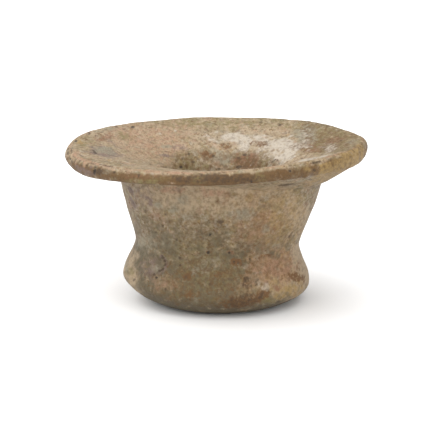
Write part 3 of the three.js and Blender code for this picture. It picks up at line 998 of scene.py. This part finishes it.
NUDGE_ACROSS = 0.5  # pixels by which a mark that misses the vessel moves in
NUDGE_DOWN = 0.3
LEAST_SLANT = 0.2  # a surface that turns away more is taken to face the camera by this much
FADE_END = 1.5  # a mark is gone at this many times its half width
LEAST_DEPTH = 1.2  # how far under and over the surface a mark reaches at least, in millimetres
DEPTH_SHARE = 0.6  # the same as a share of the mark's larger half
DEPTH_FADE = 0.7  # share of that depth at which the mark begins to fade
FULL_FACING = 0.35  # a mark is full on points whose normal is this near to its own
SIGHT_GAP = 0.4  # how far off the surface a line of sight begins, in millimetres


def spot_of(mark, tree, view):
    """Where a mark lies on the vessel."""
    eye = view[0]
    across = mark.across
    down = mark.down
    hit = tree.ray_cast(eye, sight(view, across, down))
    while hit[0] is None:
        across += math.copysign(NUDGE_ACROSS, PIXELS / 2 - across)
        down += math.copysign(NUDGE_DOWN, PIXELS / 2 - down)
        hit = tree.ray_cast(eye, sight(view, across, down))
    middle, normal = hit[0], hit[1].normalized()
    gaze = sight(view, across, down)
    if -gaze.dot(normal) < LEAST_SLANT:
        normal = (normal - gaze * (LEAST_SLANT + gaze.dot(normal))).normalized()

    def reach(run, fall):
        ray = sight(view, across + run, down + fall)
        return eye + ray * ((middle - eye).dot(normal) / ray.dot(normal)) - middle

    angle = math.radians(mark.tilt)
    side = reach(mark.wide / 2 * math.cos(angle), mark.wide / 2 * math.sin(angle))
    rise = reach(-mark.high / 2 * math.sin(angle), mark.high / 2 * math.cos(angle))
    return Spot(middle, side, rise, normal)


def cover(spot, places, normals, wobbles):
    """How fully a spot covers each point: 1 in its middle, a half at its edge and 0 outside."""
    offsets = places - np.array(spot.middle)
    side = np.array(spot.side)
    rise = np.array(spot.rise)
    normal = np.array(spot.normal)
    grams = np.array(((side @ side, side @ rise), (side @ rise, rise @ rise)))
    local = np.linalg.solve(grams, np.stack((offsets @ side, offsets @ rise)))
    size = spot.side.length + spot.rise.length
    wobble = sum(field for blot, field in wobbles if blot * MM < size)
    reach = np.hypot(*local) * (1.0 + wobble)
    depth = np.abs(offsets @ normal)
    deepest = max(LEAST_DEPTH * MM, DEPTH_SHARE * max(spot.side.length, spot.rise.length))
    near = 1.0 - eased(depth, DEPTH_FADE * deepest, deepest)
    facing = eased(normals @ normal, 0.0, FULL_FACING)
    return np.clip(FADE_END - reach, 0.0, 1.0) * facing * near


class PATERA_OT_vessel(bpy.types.Operator):
    """Build the vessel with its relief, its stains and its painted light and shade"""

    bl_idname = "patera.vessel"
    bl_label = "Build vessel"

    def execute(self, context):
        scene = context.scene
        shape = scene.patera_shape
        mesh = spun(shape)
        round_places = read_points(mesh)
        write_points(mesh, settle(round_places, shape))
        stain_and_paint_light(mesh, round_places, shape, camera_view(scene.patera_studio))
        mesh.shade_smooth()
        mesh.materials.append(crust_material(scene.patera_colours))
        vessel = bpy.data.objects.new("patera_vessel", mesh)
        scene.collection.objects.link(vessel)
        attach(vessel, "root")
        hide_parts("patera")
        return {"FINISHED"}


def seen_points(tree, places, normals, eye):
    """Which points the camera sees."""
    eye_at = np.array(eye)
    facing = ((eye_at - places) * normals).sum(axis=1) > 0
    seen = np.zeros(len(places), bool)
    for i in np.nonzero(facing)[0]:
        start = Vector(places[i] + normals[i] * SIGHT_GAP * MM)
        seen[i] = tree.ray_cast(start, eye - start)[0] is None
    return seen


# A kind of random stain: its pigment, how many there are, their least and greatest width in
# millimetres and their strength
Kind = namedtuple("Kind", "pigment count least greatest strength")

UNSEEN_STAINS = (
    Kind("pink", count=14, least=12, greatest=26, strength=0.55),
    Kind("olive", count=14, least=12, greatest=26, strength=0.5),
    Kind("slate", count=12, least=8, greatest=20, strength=0.5),
    Kind("mauve", count=8, least=8, greatest=16, strength=0.5),
    Kind("yellow", count=8, least=6, greatest=14, strength=0.5),
    Kind("pink", count=30, least=3, greatest=8, strength=0.9),
    Kind("slate", count=40, least=2, greatest=6, strength=0.85),
    Kind("mauve", count=30, least=2, greatest=6, strength=0.85),
    Kind("yellow", count=24, least=2, greatest=5, strength=0.75),
    Kind("russet", count=30, least=2, greatest=7, strength=0.75),
    Kind("white", count=18, least=2, greatest=7, strength=0.8),
    Kind("rust", count=40, least=1.4, greatest=4, strength=0.75),
    Kind("umber", count=110, least=0.9, greatest=2.2, strength=0.7),
    Kind("black", count=50, least=0.8, greatest=1.4, strength=0.85),
    Kind("white", count=40, least=0.8, greatest=1.6, strength=0.6),
)

NARROWEST = 0.45  # least share of its length that a stain is wide
LEAST_HALF = 0.35  # a stain with less than this half width is left out, in millimetres
DRAW_SEED = 12


def scatter(places, normals, seen, fields, wobbles, draw):
    """Lay random stains on what the camera doesn't see, without reaching into what it does."""
    unseen = np.nonzero(~seen)[0]
    seen_places = places[seen]
    for kind in UNSEEN_STAINS:
        for _ in range(kind.count):
            i = unseen[draw.randrange(len(unseen))]
            width = draw.uniform(kind.least, kind.greatest) * MM
            stretch = draw.uniform(NARROWEST, 1.0)
            turn = draw.uniform(0.0, math.pi)
            clear = np.sqrt(((seen_places - places[i]) ** 2).sum(axis=1).min())
            half = min(width / 2, clear / FADE_END)
            if half < LEAST_HALF * MM:
                continue
            normal = Vector(normals[i])
            side = normal.orthogonal().normalized()
            rise = normal.cross(side)
            along = side * math.cos(turn) + rise * math.sin(turn)
            beside = rise * math.cos(turn) - side * math.sin(turn)
            spot = Spot(Vector(places[i]), along * half, beside * half * stretch, normal)
            laid = cover(spot, places, normals, wobbles) * kind.strength
            fields[kind.pigment] = np.maximum(fields[kind.pigment], laid)


# Soil and painted shade round the vessel: the turn in degrees where most of it lies, how narrow that side
# is, how much lies everywhere and how much more there, and the most that is kept
Cling = namedtuple("Cling", "turn narrowness everywhere more most")

SOIL = Cling(turn=-78, narrowness=1.7, everywhere=0.4, more=1.35, most=1.3)
# Painted shade low on the sides, darkest in front and to the left
PAINTED_SHADE = Cling(turn=-102, narrowness=1.4, everywhere=0.15, more=1.1, most=1.2)

# Edges of the soil, of the painted shade, of the wear that is also painted light and of the lip's pink
# edge with its painted highlight, from nought to full. On the lip they are shares of its thickness, and
# elsewhere millimetres.
SOIL_BEGINS = (-0.35, 0.4)
SOIL_ENDS = (0.55, 1.0)
RIDGE_BEGINS = (0.84, 0.97)
FACE_EDGE = 0.6  # on both sides of where the lip's round begins
PAINTED_SHADE_RADIUS = (17.0, 20.0)
PAINTED_SHADE_TOP = (-4.0, -6.0)  # from the waist and from the neck
WORN_AND_LIT_BEGINS = (1.0, 5.0)  # above the underside of the rim

# Patches that the soil, the painted shade and the lip's pink edge with its painted highlight are thicker
# and thinner in: their width in millimetres and how strong they are
PATCH_WIDTH = 12.0
PATCH_SHARE = 0.9
# Strength of the lip's pink upper edge: pink crust and a painted highlight
RIDGE_PINK_AND_HIGHLIGHT = 0.55

# Widths of the skin's waves, of the crust's lumps and of its grit, in millimetres
WAVE_WIDTH = 16.0
LUMP_WIDTH = 5.0
GRIT_WIDTH = 1.8
GRIT_RISE = 0.5  # as a share of the lumps' height
RESTING = (0.1, 1.5)  # heights between which the relief comes in above the plane of rest


def clinging(turn, cling):
    """How much soil and painted shade lie at a turn, most on one side and less all the way round from it.
    """
    apart = (turn - math.radians(cling.turn) + math.pi) % (2 * math.pi) - math.pi
    near = 0.5 + 0.5 * np.cos(np.clip(cling.narrowness * apart, -math.pi, math.pi))
    return cling.everywhere + cling.more * near


def worn_and_lit_places(round_places, shape):
    """1 on the dished top of the rim and its lip, which are worn and painted paler as lit, and 0 below
    them.
    """
    radius, _, height = round_about(round_places)
    under = shape.neck_height + (shape.lip_height - shape.neck_height) * rimwards(radius, shape)
    begins, full = WORN_AND_LIT_BEGINS
    return eased(height, under + begins * MM, under + full * MM)


def lip_places(round_places, shape):
    """Where soil clings to the face of the lip, and where its upper edge is worn pink and painted with a
    highlight.
    """
    radius, turn, height = round_about(round_places)
    edge = shape.rim_radius - shape.lip_round
    up = (height - shape.lip_height) / shape.lip_thickness
    face = eased(radius, edge - FACE_EDGE * MM, edge + FACE_EDGE * MM)
    band = eased(up, *SOIL_BEGINS) * (1.0 - eased(up, *SOIL_ENDS))
    return face * band * clinging(turn, SOIL), face * eased(up, *RIDGE_BEGINS)


def painted_shade_places(round_places, shape):
    """Where painted shade darkens the body low on the sides, most of all in front and to the left."""
    radius, turn, height = round_about(round_places)
    full, none = PAINTED_SHADE_TOP
    low = 1.0 - eased(height, shape.waist_height + full * MM, shape.neck_height + none * MM)
    inner, outer = PAINTED_SHADE_RADIUS
    return low * clinging(turn, PAINTED_SHADE) * eased(radius, inner * MM, outer * MM)


def dirt_light_and_shade_fields(places, round_places, shape):
    """Soil and painted shade, the worn top that is painted lit, and the lip's pink edge with a painted
    highlight.
    """
    patchy = 1.0 + PATCH_SHARE * cloud(places, PATCH_WIDTH, seed=2.0, octaves=2)
    soil, ridge = lip_places(round_places, shape)
    painted_shade = painted_shade_places(round_places, shape)
    return {
        "worn_and_lit": worn_and_lit_places(round_places, shape),
        "soil": np.clip(soil * patchy, 0.0, SOIL.most),
        "painted_shade": np.clip(painted_shade * patchy, 0.0, PAINTED_SHADE.most),
        # The lip's upper edge: pink crust and a painted highlight
        "pink": RIDGE_PINK_AND_HIGHLIGHT * ridge * patchy,
    }


def skin_relief(places, shape):
    """How far the skin's waves and the crust's lumps and grit rise."""
    waves = cloud(places, WAVE_WIDTH, seed=1.0, octaves=2) * shape.wave
    lumps = cloud(places, LUMP_WIDTH, seed=5.0, octaves=2) * shape.crust
    grit = cloud(places, GRIT_WIDTH, seed=6.0, octaves=2) * shape.crust * GRIT_RISE
    return waves + lumps + grit


def stain_and_paint_light(mesh, round_places, shape, view):
    """Work the crust's relief into the mesh and keep the place of every pigment, painted light and shade
    among them, on its points.
    """
    places = read_points(mesh)
    normals = read_points(mesh, "vertex_normals", "vector")
    mesh.calc_loop_triangles()
    triangles = [tuple(t.vertices) for t in mesh.loop_triangles]
    tree = BVHTree.FromPolygons([Vector(p) for p in places], triangles)
    wobbles = [(blot, share * cloud(places, blot, seed=3.0 + blot)) for blot, share in EDGES]
    fields = {pigment: np.zeros(len(places)) for pigment in COATS}
    lift = skin_relief(places, shape)
    for mark in MARKS:
        spot = spot_of(mark, tree, view)
        laid = cover(spot, places, normals, wobbles)
        fields[mark.pigment] = np.maximum(fields[mark.pigment], laid * mark.strength)
        lift += laid * mark.lift * MM
    seen = seen_points(tree, places, normals, view[0])
    scatter(places, normals, seen, fields, wobbles, random.Random(DRAW_SEED))
    for name, dirt_light_and_shade in dirt_light_and_shade_fields(places, round_places, shape).items():
        fields[name] = np.maximum(fields.get(name, 0.0), dirt_light_and_shade)
    for name, field in fields.items():
        attribute = mesh.attributes.new(name, "FLOAT", "POINT")
        attribute.data.foreach_set("value", field)
    low, high = RESTING
    standing = eased(round_places[:, 2], low * MM, high * MM)
    write_points(mesh, places + normals * (lift * standing)[:, None])


# Stage


def soft_light(name, strength, spread, way):
    """A broad even light that shines along a direction."""
    data = bpy.data.lights.new(name, "SUN")
    data.energy = strength
    data.angle = spread
    light = bpy.data.objects.new(name, data)
    light.rotation_euler = Vector(way).to_track_quat("-Z", "Y").to_euler()
    bpy.context.scene.collection.objects.link(light)


def make_floor(studio):
    """A wide plain floor."""
    bm = bmesh.new()
    bmesh.ops.create_grid(bm, x_segments=1, y_segments=1, size=FLOOR_REACH)
    mesh = bpy.data.meshes.new("floor")
    bm.to_mesh(mesh)
    bm.free()
    sheet = Sheet("floor")
    matt = {"Base_Color": opaque(studio.floor_tint), "Roughness": 1.0, "Specular_IOR_Level": 0.0}
    mesh.materials.append(sheet.finish(**matt))
    floor = bpy.data.objects.new("floor", mesh)
    bpy.context.scene.collection.objects.link(floor)


def make_world(studio):
    """Even light all round."""
    world = bpy.data.worlds.new("sky")
    world.use_nodes = True
    background = world.node_tree.nodes["Background"]
    background.inputs["Color"].default_value = (1.0, 1.0, 1.0, 1.0)
    background.inputs["Strength"].default_value = studio.sky
    bpy.context.scene.world = world


def make_camera(studio):
    """The camera where the picture was taken from."""
    eye, forward, _, _ = camera_view(studio)
    data = bpy.data.cameras.new("camera")
    data.sensor_width = SENSOR
    data.lens = LENS
    data.clip_start = NEAREST
    camera = bpy.data.objects.new("camera", data)
    camera.location = eye
    camera.rotation_euler = forward.to_track_quat("-Z", "Y").to_euler()
    bpy.context.scene.collection.objects.link(camera)
    bpy.context.scene.camera = camera


class PATERA_OT_stage(bpy.types.Operator):
    """Build the floor, the light and the camera"""

    bl_idname = "patera.stage"
    bl_label = "Build stage"

    def execute(self, context):
        studio = context.scene.patera_studio
        make_floor(studio)
        make_world(studio)
        soft_light("key", studio.key_strength, studio.key_spread, KEY_WAY)
        soft_light("fill", studio.fill_strength, studio.fill_spread, FILL_WAY)
        make_camera(studio)
        context.scene.view_settings.view_transform = "Standard"
        return {"FINISHED"}


class PATERA_PT_panel(bpy.types.Panel):
    """Sizes, colours and the operators that build from them"""

    bl_label = "Patera"
    bl_idname = "PATERA_PT_panel"
    bl_space_type = "VIEW_3D"
    bl_region_type = "UI"
    bl_category = "Patera"

    def draw(self, context):
        for title, name in GROUPS:
            box = self.layout.box()
            box.label(text=title)
            group = getattr(context.scene, name)
            for key in group.__annotations__:
                box.prop(group, key)
        for operator in (PATERA_OT_vessel, PATERA_OT_stage):
            self.layout.operator(operator.bl_idname)


GROUPS = (("Shape", "patera_shape"), ("Colours", "patera_colours"), ("Studio", "patera_studio"))
CLASSES = (PateraShape, PateraColours, PateraStudio, PATERA_OT_vessel, PATERA_OT_stage, PATERA_PT_panel)


def register():
    """Add the properties, the operators and the panel."""
    for item in CLASSES:
        bpy.utils.register_class(item)
    bpy.types.Scene.patera_shape = PointerProperty(type=PateraShape)
    bpy.types.Scene.patera_colours = PointerProperty(type=PateraColours)
    bpy.types.Scene.patera_studio = PointerProperty(type=PateraStudio)


def unregister():
    """Take them away again."""
    for _, name in GROUPS:
        delattr(bpy.types.Scene, name)
    for item in reversed(CLASSES):
        bpy.utils.unregister_class(item)


def main():
    """Build the vessel and its stage."""
    register()
    bpy.ops.patera.vessel()
    bpy.ops.patera.stage()


if __name__ == "__main__":
    main()
